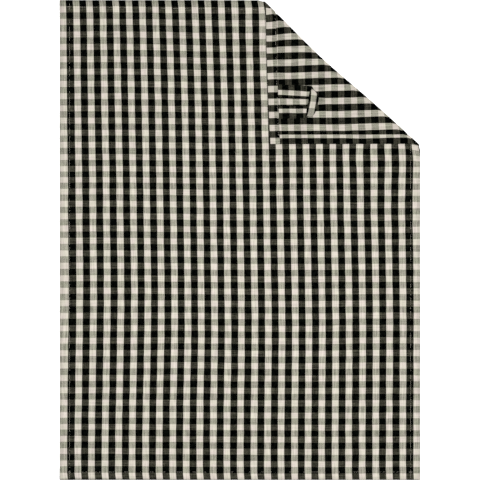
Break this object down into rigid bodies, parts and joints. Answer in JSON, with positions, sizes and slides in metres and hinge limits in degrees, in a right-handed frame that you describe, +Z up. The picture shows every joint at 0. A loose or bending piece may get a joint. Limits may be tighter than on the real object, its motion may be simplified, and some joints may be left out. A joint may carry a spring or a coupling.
{
  "type": "tea towel",
  "caption": "Woven cotton tea towel in black and cream gingham, hemmed all round, lying flat with one corner turned over to show its hanging loop.",
  "frame": {"origin": "on the surface the towel lies on, under the middle of its outline", "axes": "+X across the towel to its right edge, +Y along it to its top hem, +Z up, out of its front"},
  "size_m": [0.5, 0.666, 0.008],
  "materials": {
    "gingham_cotton": "plain-woven matte cotton in black and cream checks",
    "gingham_tape": "matte cotton tape folded from the same checked cloth"
  },
  "bodies": {
    "root": {"towel": "gingham_cotton", "hanging_loop": "gingham_tape"}
  },
  "joints": []
}
